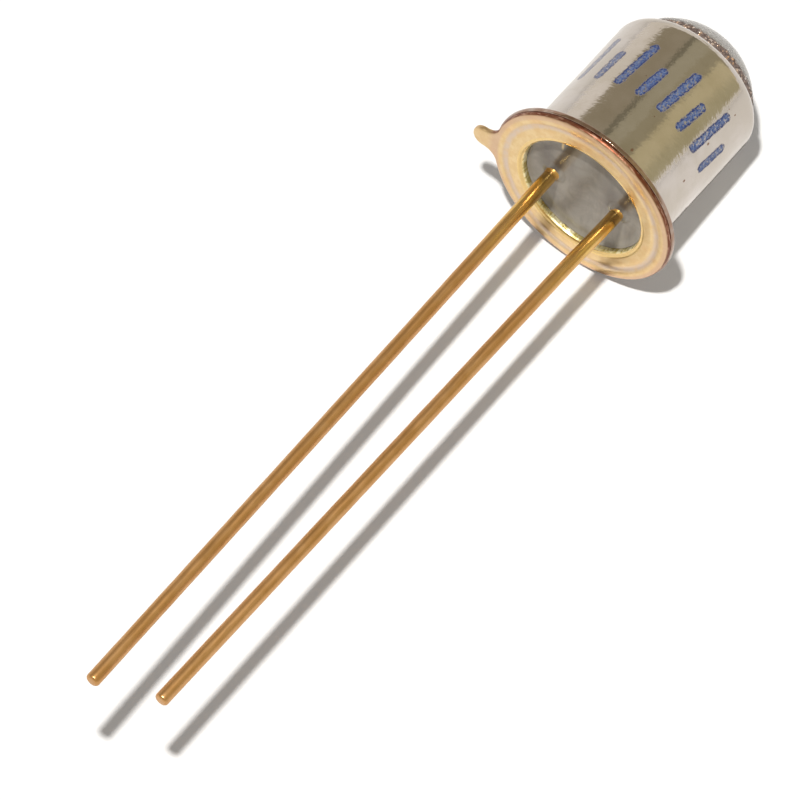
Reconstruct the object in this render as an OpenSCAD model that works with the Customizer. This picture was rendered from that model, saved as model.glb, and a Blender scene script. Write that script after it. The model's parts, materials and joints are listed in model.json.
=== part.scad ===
// Metal-can phototransistor with a domed glass window and two gold-plated leads, lying on its side.
// The device is drawn about its own axis: z = 0 is the seating face of the flange, +z runs to the lens,
// +y points to the index tab and +x points to the floor. laid() then sets it down as it comes to rest.

/* [Header] */
// Outside diameter of the welded rim
rim_d = 6.5; // [6.2:0.05:7.5]
// Thickness of the header's sheet at the rim
header_sheet = 0.18; // [0.14:0.01:0.26]
// Height of the chip platform above the seating face
header_h = 1.5; // [1.3:0.05:2.2]
// Thickness of the chip platform
platform_t = 0.3; // [0.2:0.02:0.4]
// Wall of the eyelet that holds the glass
eyelet_wall = 0.2; // [0.14:0.01:0.26]
// Rounding of the eyelet's mouth
mouth_r = 0.16; // [0.08:0.01:0.2]
// Rounding of the rim's outer edge on the lead side
rim_edge_r = 0.13; // [0.06:0.01:0.135]
// Middle diameter of the shallow coined ring on the seating face
ring_d = 5.52; // [5.3:0.02:5.7]
// Width of the coined ring
ring_w = 0.26; // [0.14:0.02:0.36]
// Depth of the coined ring
ring_depth = 0.035; // [0.01:0.005:0.05]
// Diameter of the hole in the platform that the emitter lead passes through
post_hole_d = 0.95; // [0.8:0.05:1.1]

/* [Index tab] */
// Distance from the device's axis to the end of the tab
tab_reach = 4; // [3.9:0.05:4.6]
// Width of the tab
tab_w = 0.75; // [0.4:0.05:0.9]
// Radius of the two fillets where the tab leaves the rim
tab_fillet = 0.5; // [0.2:0.05:0.6]

/* [Leads] */
// Diameter of a lead
lead_d = 0.45; // [0.4:0.01:0.5]
// Distance between the two leads where they leave the glass
lead_pitch = 2.4; // [2.2:0.05:2.6]
// Length of the emitter lead below the seating face
emitter_length = 21.95; // [12:0.05:26]
// Length of the collector lead below the seating face
collector_length = 21.2; // [12:0.05:26]
// Height of the emitter's bonding post above the platform
post_h = 0.4; // [0.3:0.05:0.6]
// Centre-line radius of the slight bends in the leads
bend_r = 1; // [0.5:0.1:1.2]
// Depth below the seating face of the bend where each lead leaves the glass
first_bend = 0.19; // [0.15:0.01:0.5]
// Turn of the emitter lead at that bend, in degrees
emitter_turn = 4.1; // [0:0.1:8]
// Side that it turns to, in degrees from the floor towards the tab
emitter_side = 12; // [-90:1:90]
// Depth of the emitter lead's second bend
emitter_kink = 6.7; // [3:0.1:9]
// Turn at the second bend, back the other way
emitter_kink_turn = 0.7; // [0:0.1:4]
// Turn of the collector lead where it leaves the glass, in degrees
collector_turn = 4.1; // [0:0.1:8]
// Side that it turns to, in degrees from the floor towards the tab
collector_side = 42; // [-90:1:90]
// Depth of the collector lead's second bend
collector_kink = 2.2; // [1.5:0.1:9]
// Turn at the second bend, across the first
collector_kink_turn = 1.2; // [0:0.1:4]
// Rounding of the cut ends of the leads
lead_tip_r = 0.1; // [0.02:0.01:0.15]

/* [Glass seal] */
// Depth of the glass below the seating face
glass_recess = 0.31; // [0.2:0.01:0.5]
// Height to which the glass creeps up each lead
creep_h = 0.19; // [0.05:0.01:0.19]
// Radius of the concave creep of glass round each lead
creep_r = 0.24; // [0.1:0.02:0.3]

/* [Can] */
// Outside diameter of the can
can_d = 5.15; // [5.1:0.05:5.4]
// Height of the can's top above the seating face
can_h = 5.75; // [5:0.05:7]
// Thickness of the can's sheet
can_sheet = 0.15; // [0.1:0.01:0.2]
// Outside radius of the shoulder
shoulder_r = 0.46; // [0.3:0.02:0.46]
// Radius of the fillet between the can's wall and its flange
foot_r = 0.14; // [0.05:0.01:0.2]
// Rounding of the can flange's outer edge
lip_r = 0.04; // [0.02:0.01:0.06]
// Diameter of the window in the can's top
window_d = 4.15; // [3.8:0.05:4.2]

/* [Lens] */
// Radius of the dome
dome_r = 2.5; // [2.3:0.05:2.8]
// Height of the top of the dome above the seating face
lens_top = 7.2; // [6.6:0.02:8.6]
// Depth of the glass below the can's top, at the middle of the lens
lens_depth = 1.15; // [0.8:0.05:1.6]
// Radius of the glass fillet that creeps down the can's wall
lens_creep_r = 0.25; // [0.1:0.05:0.35]
// Width of the sealing ring on the can's top
seal_w = 0.12; // [0.1:0.01:0.25]
// Height of the sealing ring
seal_h = 0.3; // [0.2:0.01:0.45]

/* [Chip] */
// Side of the square silicon chip
chip_side = 0.96; // [0.6:0.02:1.1]
// Thickness of the chip
chip_t = 0.26; // [0.15:0.01:0.35]
// Thickness of the solder layer under the chip
attach_t = 0.03; // [0.01:0.01:0.06]
// Width of the solder that shows round the chip
attach_w = 0.06; // [0.02:0.01:0.12]
// Side of the bonding pad on the chip
pad_side = 0.16; // [0.12:0.01:0.2]
// Thickness of the metal of the bonding pad
pad_t = 0.01; // [0.005:0.001:0.02]
// Depth of the light-sensitive window in the chip's face
window_depth = 0.008; // [0.004:0.001:0.02]
// Diameter of the bond wire
wire_d = 0.04; // [0.025:0.005:0.06]
// Slope of the bond wire's loop down to the post, in degrees
loop_fall = 22; // [18:1:30]
// Diameter of the ball at the chip end of the bond wire
ball_d = 0.11; // [0.08:0.01:0.12]

/* [Fits] */
// Gap between the eyelet and the can's wall
nest_gap = 0.075; // [0.03:0.005:0.12]
// Step between the edges of the two welded flanges
weld_step = 0.03; // [0:0.01:0.06]
// Play left between glass and the metal that it is fused to
fused_gap = 0.01; // [0.005:0.001:0.02]

/* [Hidden] */
$fn = 96;
ARC_STEPS = 8;

rim_r = rim_d / 2;
rim_t = header_sheet + can_sheet;
header_rim_r = rim_r - weld_step;
can_r = can_d / 2;
can_bore_r = can_r - can_sheet;
eyelet_r = can_bore_r - nest_gap;
bore_r = eyelet_r - eyelet_wall;
cup_corner_r = eyelet_wall * 0.75;
lead_r = lead_d / 2;
lead_y = lead_pitch / 2;
glass_top = header_h - platform_t;
window_r = window_d / 2;
neck_r = window_r - fused_gap;
dome_z = lens_top - dome_r;
dome_foot_z = dome_z + sqrt(dome_r * dome_r - neck_r * neck_r);
lens_floor = can_h - lens_depth;
lens_seat_r = can_bore_r - fused_gap;
inner_shoulder_r = shoulder_r - can_sheet;
chip_z = header_h + attach_t;
chip_top = chip_z + chip_t;
post_top = header_h + post_h;
pad_y = chip_side / 2 - pad_side;

// Resting attitude: the rim and the can's shoulder both touch the floor
lip_centre = [rim_r - lip_r, rim_t - lip_r];
shoulder_centre = [can_r - shoulder_r, can_h - shoulder_r];
touch_span = shoulder_centre - lip_centre;
tilt = atan(-touch_span[0] / touch_span[1]) - asin((shoulder_r - lip_r) / norm(touch_span));
lift = lip_centre[0] * cos(tilt) + lip_centre[1] * sin(tilt) + lip_r;

// Wires are lists of straight stretches and of bends between them, each bend a turn and the side it
// turns to. A lead starts inside the header and runs towards -z, with its sides counted from the floor.
emitter_stretches = [post_top + first_bend, emitter_kink - first_bend, emitter_length - emitter_kink];
emitter_bends = [[emitter_turn, -emitter_side], [emitter_kink_turn, 180 - emitter_side / 2]];
collector_stretches = [glass_top + first_bend, collector_kink - first_bend,
    collector_length - collector_kink];
collector_bends = [[collector_turn, -collector_side], [collector_kink_turn, 76 - collector_side]];
emitter_tip = lead_point(post_top, 1, wire_tip(emitter_stretches, emitter_bends, bend_r));
collector_tip = lead_point(glass_top, -1, wire_tip(collector_stretches, collector_bends, bend_r));

// The laid-down box is centred on the origin
far_x = dome_z * cos(tilt) + dome_r;
near_x = min(laid_x(emitter_tip), laid_x(collector_tip));
mid_x = (far_x + near_x) / 2;
mid_y = (tab_reach - rim_r) / 2;

function laid_x(p) = p[2] * cos(tilt) - p[0] * sin(tilt);
function spun(p, a) = [p[0] * cos(a) - p[1] * sin(a), p[0] * sin(a) + p[1] * cos(a), p[2]];
function leant(p, a) = [p[0] * cos(a) + p[2] * sin(a), p[1], p[2] * cos(a) - p[0] * sin(a)];
// Where a point beyond a bend ends up once the wire is bent
function bent(p, turn, side, r) = spun([r, 0, 0] + leant(spun(p, -side) - [r, 0, 0], turn), side);
// End of a wire that starts at the origin and runs towards +z
function wire_tip(stretches, bends, r, i = 0) = [0, 0, stretches[i]]
    + (i == len(bends) ? [0, 0, 0] : bent(wire_tip(stretches, bends, r, i + 1), bends[i][0], bends[i][1], r));
function lead_point(top, side, p) = [p[0], side * lead_y - p[1], top - p[2]];
function arc(centre, r, from, to) =
    [for (i = [0:ARC_STEPS]) centre + r * [cos(from + (to - from) * i / ARC_STEPS),
                                           sin(from + (to - from) * i / ARC_STEPS)]];

// Sets the device down on the floor, tab level, leads towards -X
module laid() {
    translate([-mid_x, -mid_y, lift]) rotate([0, 90 + tilt, 0]) children();
}

// Turns a profile of [radius, height] points about the device's axis
module turned(profile) {
    rotate_extrude() polygon(profile);
}

// A round wire from the origin towards +z, bend after bend, with its far end rounded
module wire(stretches, bends, r, wire_r, end_r = 0, i = 0) {
    if (i == len(bends)) {
        turned(concat(
            [[0, 0], [wire_r, 0]],
            end_r == 0 ? [[wire_r, stretches[i]]]
                : arc([wire_r - end_r, stretches[i] - end_r], end_r, 0, 90),
            [[0, stretches[i]]]));
    } else {
        turn = bends[i][0];
        side = bends[i][1];
        cylinder(h = stretches[i], r = wire_r);
        translate([0, 0, stretches[i]]) rotate([0, 0, side]) translate([r, 0, 0]) {
            rotate([90, 0, 180]) rotate_extrude(angle = turn) translate([r, 0]) rotate(side) circle(wire_r);
            rotate([0, turn, 0]) translate([-r, 0, 0]) rotate([0, 0, -side])
                wire(stretches, bends, r, wire_r, end_r, i + 1);
        }
    }
}

// Outline of the index tab, seen along the axis: its rounded end and the fillets that blend it
// into the edge of the flat seating face
module tab_outline() {
    root_r = header_rim_r - rim_edge_r * 1.1;
    fillet_x = tab_w / 2 + tab_fillet;
    fillet_y = sqrt(pow(root_r + tab_fillet, 2) - fillet_x * fillet_x);
    flare = atan2(fillet_y, fillet_x);
    foot_x = fillet_x * root_r / (root_r + tab_fillet);
    foot_y = fillet_y * root_r / (root_r + tab_fillet) - rim_edge_r;
    polygon(concat(
        [[-foot_x, foot_y]],
        arc([-fillet_x, fillet_y], tab_fillet, -flare, 0),
        arc([0, tab_reach - tab_w / 2], tab_w / 2, 180, 0),
        arc([fillet_x, fillet_y], tab_fillet, 180, 180 + flare),
        [[foot_x, foot_y]]));
}

// Stamped header: rim with its tab and coined ring, eyelet and chip platform in one sheet
module header() {
    ring_r = ring_d / 2;
    ring_arc_r = (ring_w * ring_w / 4 + ring_depth * ring_depth) / (2 * ring_depth);
    ring_half = asin(ring_w / 2 / ring_arc_r);
    color([0.87, 0.72, 0.46])
    difference() {
        union() {
            turned(concat(
                [[0, glass_top]],
                arc([bore_r - cup_corner_r, glass_top - cup_corner_r], cup_corner_r, 90, 0),
                arc([bore_r + mouth_r, mouth_r], mouth_r, 180, 270),
                arc([ring_r, ring_depth - ring_arc_r], ring_arc_r, 90 + ring_half, 90 - ring_half),
                arc([header_rim_r - rim_edge_r, rim_edge_r], rim_edge_r, 270, 360),
                [[header_rim_r, header_sheet]],
                arc([eyelet_r + foot_r / 2, header_sheet + foot_r / 2], foot_r / 2, 270, 180),
                arc([eyelet_r - cup_corner_r, header_h - cup_corner_r], cup_corner_r, 0, 90),
                [[0, header_h]]));
            linear_extrude(header_sheet) tab_outline();
        }
        translate([0, lead_y, glass_top - 0.1]) cylinder(h = platform_t + 0.2, d = post_hole_d);
    }
}

// A ring of glass that creeps up a lead, with a concave flank
module creep(r_in, height, radius) {
    rotate_extrude() polygon(concat(
        [[r_in, -0.05], [r_in + radius, -0.05]],
        [for (i = [0:ARC_STEPS]) let (a = 90 * i / ARC_STEPS)
            [r_in + radius * (1 - sin(a)), height * (1 - cos(a))]],
        [[r_in, height]]));
}

// Glass that fills the eyelet, with the creep round each lead and the plug round the bonding post
module glass_seal() {
    fill_r = bore_r - fused_gap;
    corner_r = cup_corner_r - fused_gap / 2;
    plug_r = post_hole_d / 2 - fused_gap;
    color([0.52, 0.49, 0.46])
    difference() {
        union() {
            turned(concat(
                [[0, glass_top - fused_gap], [0, glass_recess], [fill_r, glass_recess]],
                arc([fill_r - corner_r, glass_top - fused_gap - corner_r], corner_r, 0, 90)));
            for (side = [-1, 1])
                translate([0, side * lead_y, glass_recess]) mirror([0, 0, 1])
                    creep(lead_r, creep_h, creep_r);
            translate([0, lead_y, glass_top - 0.1]) cylinder(h = platform_t + 0.1, r = plug_r);
            translate([0, lead_y, header_h])
                creep(lead_r, creep_h / 2, plug_r - lead_r - 0.02);
        }
        translate([0, lead_y, -1]) cylinder(h = header_h + 3, r = lead_r + fused_gap);
        translate([0, -lead_y, -1]) cylinder(h = header_h + 3, r = lead_r + fused_gap);
    }
}

module emitter_lead() {
    color([0.80, 0.58, 0.22])
    translate([0, lead_y, post_top]) rotate([180, 0, 0])
        wire(emitter_stretches, emitter_bends, bend_r, lead_r, lead_tip_r);
}

module collector_lead() {
    color([0.80, 0.58, 0.22])
    translate([0, -lead_y, glass_top]) rotate([180, 0, 0])
        wire(collector_stretches, collector_bends, bend_r, lead_r, lead_tip_r);
}

// Drawn can: flange, wall, shoulder and the window in its top, in one thickness of sheet
module can() {
    color([0.80, 0.77, 0.72])
    turned(concat(
        [[can_bore_r, header_sheet], [rim_r, header_sheet]],
        arc([rim_r - lip_r, rim_t - lip_r], lip_r, 0, 90),
        arc([can_r + foot_r, rim_t + foot_r], foot_r, 270, 180),
        arc(shoulder_centre, shoulder_r, 0, 90),
        [[window_r, can_h], [window_r, can_h - can_sheet]],
        arc(shoulder_centre, inner_shoulder_r, 90, 0)));
}

// Domed glass, fused into the can from inside
module lens() {
    color([0.80, 0.82, 0.80, 0.5])
    turned(concat(
        [[0, lens_top], [0, lens_floor]],
        arc([lens_seat_r - lens_creep_r, lens_floor - lens_creep_r], lens_creep_r, 90, 0),
        arc(shoulder_centre, inner_shoulder_r - fused_gap, 0, 90),
        [[neck_r, can_h - can_sheet - fused_gap]],
        arc([0, dome_z], dome_r, asin((dome_foot_z - dome_z) / dome_r), 90)));
}

// Crumbly ring of sealing glass between the can's top and the dome
module lens_seal() {
    color([0.36, 0.27, 0.22])
    turned([
        [window_r, can_h],
        [window_r + seal_w, can_h],
        [window_r + seal_w, can_h + seal_h * 0.3],
        [window_r + seal_w * 0.8, can_h + seal_h * 0.65],
        [window_r + seal_w * 0.4, can_h + seal_h * 0.92],
        [window_r, can_h + seal_h]
    ]);
}

module die_attach() {
    side = chip_side + 2 * attach_w;
    color([0.75, 0.70, 0.55])
    translate([-side / 2, -side / 2, header_h]) cube([side, side, attach_t]);
}

// Silicon chip with its light-sensitive window and the raised emitter pad
module phototransistor_chip() {
    frame = chip_side * 0.08;
    open_side = chip_side - 2 * frame;
    color([0.22, 0.24, 0.32])
    union() {
        difference() {
            translate([-chip_side / 2, -chip_side / 2, chip_z]) cube([chip_side, chip_side, chip_t]);
            difference() {
                translate([-open_side / 2, -open_side / 2, chip_top - window_depth])
                    cube([open_side, open_side, 1]);
                translate([-pad_side, pad_y - pad_side, 0]) cube([2 * pad_side, chip_side, 9]);
            }
        }
        translate([-pad_side / 2, pad_y - pad_side / 2, chip_top - window_depth])
            cube([pad_side, pad_side, window_depth + pad_t]);
    }
}

// Bond wire: up from the ball on the chip's pad, over, and down to lie on the emitter's post
module bond_wire() {
    wire_r = wire_d / 2;
    r = wire_d * 2;
    rise = 50;
    fall = 90 + loop_fall;
    over = wire_d;
    stitch = lead_r * 0.7;
    span = lead_y + stitch / 2 - pad_y;
    climb = post_top + wire_r - chip_top - pad_t;
    slope = (span - stitch - over * sin(rise) - r * (1 - 2 * cos(fall))) / sin(fall);
    neck = climb - over * cos(rise) - slope * cos(fall) - r * (2 * sin(fall) - 1);
    color([0.86, 0.68, 0.30])
    translate([0, pad_y, chip_top + pad_t]) {
        cylinder(h = wire_d * 0.8, d = ball_d);
        wire([neck, over, slope, stitch], [[rise, 90], [fall - rise, 90], [loop_fall, -90]], r, wire_r);
    }
}

laid() header();
laid() glass_seal();
laid() emitter_lead();
laid() collector_lead();
laid() can();
laid() lens();
laid() lens_seal();
laid() die_attach();
laid() phototransistor_chip();
laid() bond_wire();
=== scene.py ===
"""Looks of the metal-can phototransistor: gold-plated header and leads, bright can, glass and light."""

import json
import math

import bmesh
import bpy
from mathutils import Matrix, Vector, geometry, noise

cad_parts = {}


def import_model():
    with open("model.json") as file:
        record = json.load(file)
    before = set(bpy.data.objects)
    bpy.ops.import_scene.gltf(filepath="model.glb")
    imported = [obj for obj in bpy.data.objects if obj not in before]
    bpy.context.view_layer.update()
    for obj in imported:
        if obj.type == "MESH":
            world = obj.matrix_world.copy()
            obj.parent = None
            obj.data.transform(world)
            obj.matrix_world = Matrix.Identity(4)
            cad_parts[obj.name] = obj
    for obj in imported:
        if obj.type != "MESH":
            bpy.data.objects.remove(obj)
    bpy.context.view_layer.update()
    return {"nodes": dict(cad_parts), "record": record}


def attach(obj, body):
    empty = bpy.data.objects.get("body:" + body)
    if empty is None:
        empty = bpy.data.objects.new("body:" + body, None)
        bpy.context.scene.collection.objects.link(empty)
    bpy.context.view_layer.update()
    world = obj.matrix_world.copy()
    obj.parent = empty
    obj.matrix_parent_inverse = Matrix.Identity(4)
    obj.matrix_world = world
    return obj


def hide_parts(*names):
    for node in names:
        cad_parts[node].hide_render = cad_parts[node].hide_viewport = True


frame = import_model()

# Everything is drawn in millimetres about the device's own axis, as the part's source does it:
# z = 0 is the seating face, +z runs to the lens, +y points to the tab and +x to the floor.
MM = 0.001
TURN_STEPS = 256
ARC_STEPS = 12

# Header
RIM_R = 3.25
HEADER_SHEET = 0.18
HEADER_H = 1.5
PLATFORM_T = 0.3
EYELET_WALL = 0.2
MOUTH_R = 0.16
RIM_EDGE_R = 0.13
RING_R = 2.76
RING_W = 0.26
RING_DEPTH = 0.035
POST_HOLE_R = 0.475
TAB_REACH = 4.0
TAB_W = 0.75
TAB_FILLET = 0.5
TAB_EDGE_R = 0.08
WELD_STEP = 0.03
HEADER_RIM_R = RIM_R - WELD_STEP

# Can
CAN_SHEET = 0.15
CAN_R = 2.575
CAN_H = 5.75
SHOULDER_R = 0.46
FOOT_R = 0.14
LIP_R = 0.04
WINDOW_R = 2.075
RIM_T = HEADER_SHEET + CAN_SHEET
CAN_BORE_R = CAN_R - CAN_SHEET

# Eyelet and its glass
NEST_GAP = 0.075
FUSED_GAP = 0.01
EYELET_R = CAN_BORE_R - NEST_GAP
BORE_R = EYELET_R - EYELET_WALL
CUP_CORNER_R = EYELET_WALL * 0.75
GLASS_TOP = HEADER_H - PLATFORM_T
GLASS_RECESS = 0.31
CREEP_H = 0.19
CREEP_R = 0.24
WALL_CREEP = 0.07
BEAD_H = 0.22
BEAD_R = 0.06

# Leads
LEAD_R = 0.225
LEAD_Y = 1.2
LEAD_TIP_R = 0.1
POST_TOP = HEADER_H + 0.4
BEND_R = 1.0
FIRST_BEND = 0.19
EMITTER_LENGTH = 21.95
EMITTER_KINK = 6.7
EMITTER_BENDS = [(4.1, -12.0), (0.7, 174.0)]
COLLECTOR_LENGTH = 21.2
COLLECTOR_KINK = 2.2
COLLECTOR_BENDS = [(4.1, -42.0), (1.2, 34.0)]

# Lens and its sealing ring
DOME_R = 2.5
LENS_TOP = 7.2
LENS_FLOOR = CAN_H - 1.15
LENS_CREEP_R = 0.25
SEAL_W = 0.12
SEAL_H = 0.3

# Attitude in the row frame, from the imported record's mount on the can's wall
BARREL = next(m for m in frame["record"]["mounts"] if m["name"] == "can_barrel")
AXIS = Vector(BARREL["axis"])
BARREL_MIDDLE = (RIM_T + FOOT_R + CAN_H - SHOULDER_R) / 2
ORIGIN = Vector(BARREL["pos_m"]) - AXIS * BARREL_MIDDLE * MM
TILT = math.atan2(-AXIS.z, AXIS.x)
LAID_TURN = math.pi / 2 + TILT
LAID = Matrix.Translation(ORIGIN) @ Matrix.Rotation(LAID_TURN, 4, "Y") @ Matrix.Scale(MM, 4)


# Profiles and mesh building

def arc(centre, radius, start, end, steps=ARC_STEPS):
    """Points of an arc, with its start and end angles in degrees."""
    points = []
    for i in range(steps + 1):
        angle = math.radians(start + (end - start) * i / steps)
        points.append((centre[0] + radius * math.cos(angle), centre[1] + radius * math.sin(angle)))
    return points


def stretch(start, end, step):
    """Points between start and end, without the end, about a step apart."""
    count = max(1, round(math.dist(start, end) / step))
    return [
        (start[0] + (end[0] - start[0]) * i / count, start[1] + (end[1] - start[1]) * i / count)
        for i in range(count)
    ]


def ring_of(bm, radius, height, centre=(0.0, 0.0), steps=TURN_STEPS):
    """A ring of new vertices round a line parallel to the device's axis."""
    ring = []
    for i in range(steps):
        angle = 2 * math.pi * i / steps
        x = centre[0] + radius * math.cos(angle)
        y = centre[1] + radius * math.sin(angle)
        ring.append(bm.verts.new((x, y, height)))
    return ring


def join_rings(bm, lower, upper):
    """Quads between two rings of as many vertices each."""
    count = len(lower)
    for i in range(count):
        j = (i + 1) % count
        bm.faces.new((lower[i], lower[j], upper[j], upper[i]))


def close_ring(bm, ring, height, centre=(0.0, 0.0)):
    """A fan from a ring to a point on the axis."""
    pole = bm.verts.new((centre[0], centre[1], height))
    count = len(ring)
    for i in range(count):
        bm.faces.new((ring[i], ring[(i + 1) % count], pole))


def turned(bm, profile, centre=(0.0, 0.0), steps=TURN_STEPS, closed=False):
    """Turns a profile of (radius, height) about the axis. A radius of 0 at an end closes it in a pole."""
    start_pole = profile[0][0] == 0
    end_pole = profile[-1][0] == 0
    inner = profile[1 if start_pole else 0:-1 if end_pole else None]
    rings = [ring_of(bm, radius, height, centre, steps) for radius, height in inner]
    for lower, upper in zip(rings, rings[1:]):
        join_rings(bm, lower, upper)
    if closed:
        join_rings(bm, rings[-1], rings[0])
    if start_pole:
        close_ring(bm, rings[0], profile[0][1], centre)
    if end_pole:
        close_ring(bm, rings[-1], profile[-1][1], centre)
    return rings


def ring_edges(bm, ring):
    """The edges round a ring, made where they don't exist yet."""
    edges = []
    for i, vertex in enumerate(ring):
        other = ring[(i + 1) % len(ring)]
        edges.append(bm.edges.get((vertex, other)) or bm.edges.new((vertex, other)))
    return edges


def fill_between(bm, outer, inner):
    """A flat filling between two rings."""
    edges = ring_edges(bm, outer) + ring_edges(bm, inner)
    bmesh.ops.triangle_fill(bm, use_beauty=True, use_dissolve=False, edges=edges)


def shift(bm, amount, scale, seed, keep=None):
    """Moves each vertex a little by smooth noise, so that reflections waver as on a real part."""
    offset = Vector((seed * 7.3, seed * 3.1, seed * 5.7))
    for vertex in bm.verts:
        if keep and keep(vertex.co):
            continue
        vertex.co += noise.noise_vector(vertex.co / scale + offset) * amount


def finished(bm, name, material, nodes, sharp=35.0):
    """Turns a drawing into a piece of the object, laid down in the row frame."""
    bmesh.ops.recalc_face_normals(bm, faces=bm.faces)
    bm.transform(LAID)
    mesh = bpy.data.meshes.new(name)
    bm.to_mesh(mesh)
    bm.free()
    mesh.shade_smooth()
    mesh.set_sharp_from_angle(angle=math.radians(sharp))
    mesh.materials.append(material)
    piece = bpy.data.objects.new(name, mesh)
    bpy.context.scene.collection.objects.link(piece)
    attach(piece, "root")
    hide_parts(*nodes)
    return piece


# Node helpers

class Tree:
    """A short way to write a node tree."""

    def __init__(self, tree):
        self.tree = tree
        self.tree.nodes.clear()

    def node(self, kind, **settings):
        made = self.tree.nodes.new(kind)
        for key, value in settings.items():
            setattr(made, key, value)
        return made

    def link(self, source, target):
        self.tree.links.new(source, target)

    def put(self, value, socket):
        """Links an output, or sets a plain value."""
        if isinstance(value, bpy.types.NodeSocket):
            self.link(value, socket)
        else:
            socket.default_value = value

    def math(self, operation, *values, clamp=False):
        made = self.node("ShaderNodeMath", operation=operation, use_clamp=clamp)
        for i, value in enumerate(values):
            self.put(value, made.inputs[i])
        return made.outputs[0]

    def vector(self, operation, *values):
        made = self.node("ShaderNodeVectorMath", operation=operation)
        for i, value in enumerate(values):
            self.put(value, made.inputs[i])
        return made.outputs["Value" if operation in ("LENGTH", "DISTANCE", "DOT_PRODUCT") else "Vector"]

    def noise(self, coordinates, scale, detail=3.0, roughness=0.55, distortion=0.0):
        made = self.node("ShaderNodeTexNoise")
        self.link(coordinates, made.inputs["Vector"])
        made.inputs["Scale"].default_value = scale
        made.inputs["Detail"].default_value = detail
        made.inputs["Roughness"].default_value = roughness
        made.inputs["Distortion"].default_value = distortion
        return made.outputs["Fac"]

    def colour_noise(self, coordinates, scale):
        """Three noises at once, as a colour."""
        made = self.node("ShaderNodeTexNoise")
        self.link(coordinates, made.inputs["Vector"])
        made.inputs["Scale"].default_value = scale
        return made.outputs["Color"]

    def cells(self, coordinates, scale, feature="F1", output="Distance"):
        made = self.node("ShaderNodeTexVoronoi", feature=feature)
        self.link(coordinates, made.inputs["Vector"])
        made.inputs["Scale"].default_value = scale
        return made.outputs[output]

    def span(self, value, low, high, to_low=0.0, to_high=1.0, smooth=True):
        """Maps low..high to to_low..to_high and holds it there beyond."""
        made = self.node("ShaderNodeMapRange", interpolation_type="SMOOTHSTEP" if smooth else "LINEAR")
        for name, setting in (
            ("Value", value), ("From Min", low), ("From Max", high), ("To Min", to_low), ("To Max", to_high)
        ):
            self.put(setting, made.inputs[name])
        return made.outputs[0]

    def blend(self, amount, first, second, kind="MIX"):
        """Mixes two colours, each a socket or three numbers."""
        made = self.node("ShaderNodeMix", data_type="RGBA", blend_type=kind)
        self.put(amount, made.inputs["Factor"])
        for value, index in ((first, 6), (second, 7)):
            plain = isinstance(value, bpy.types.NodeSocket)
            self.put(value if plain else (*value, 1.0), made.inputs[index])
        return made.outputs[2]

    def grey(self, value):
        """A number as a grey colour."""
        made = self.node("ShaderNodeCombineColor")
        for socket in made.inputs:
            self.put(value, socket)
        return made.outputs[0]

    def bump(self, height, distance, strength=1.0, normal=None):
        made = self.node("ShaderNodeBump")
        made.inputs["Strength"].default_value = strength
        made.inputs["Distance"].default_value = distance
        self.link(height, made.inputs["Height"])
        if normal:
            self.link(normal, made.inputs["Normal"])
        return made.outputs["Normal"]

    def device(self):
        """Coordinates in the device's own frame, in millimetres, from the object's coordinates."""
        place = self.node("ShaderNodeTexCoord").outputs["Object"]
        made = self.node("ShaderNodeMapping", vector_type="TEXTURE")
        self.link(place, made.inputs["Vector"])
        made.inputs["Location"].default_value = ORIGIN
        made.inputs["Rotation"].default_value = (0, LAID_TURN, 0)
        made.inputs["Scale"].default_value = (MM, MM, MM)
        return made.outputs["Vector"]


class Finish(Tree):
    """A material with its principled shader and the device's coordinates ready."""

    def __init__(self, name):
        self.material = bpy.data.materials.new(name)
        self.material.use_nodes = True
        super().__init__(self.material.node_tree)
        self.shader = self.node("ShaderNodeBsdfPrincipled")
        self.output = self.node("ShaderNodeOutputMaterial")
        self.link(self.shader.outputs[0], self.output.inputs["Surface"])
        self.place = self.device()
        split = self.node("ShaderNodeSeparateXYZ")
        self.link(self.place, split.inputs[0])
        self.x, self.y, self.z = split.outputs

    def set(self, **values):
        for name, value in values.items():
            if isinstance(value, tuple) and len(value) == 3 and name.endswith(("Color", "Tint")):
                value = (*value, 1.0)
            self.put(value, self.shader.inputs[name.replace("_", " ")])

    def radius(self):
        """Distance from the device's axis."""
        return self.math("SQRT", self.math("ADD", self.math("MULTIPLY", self.x, self.x),
                                           self.math("MULTIPLY", self.y, self.y)))

    def around(self):
        """Angle round the device's axis, in radians, 0 at the side away from the floor."""
        return self.math("ARCTAN2", self.math("MULTIPLY", self.y, -1.0),
                         self.math("MULTIPLY", self.x, -1.0))

    def spot(self, centre, low, high, stretched=(1.0, 1.0, 1.0)):
        """1 within low millimetres of a point and 0 beyond high."""
        away = self.vector("SUBTRACT", self.place, centre)
        away = self.vector("MULTIPLY", away, stretched)
        return self.span(self.vector("LENGTH", away), low, high, 1.0, 0.0)


# Materials

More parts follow.
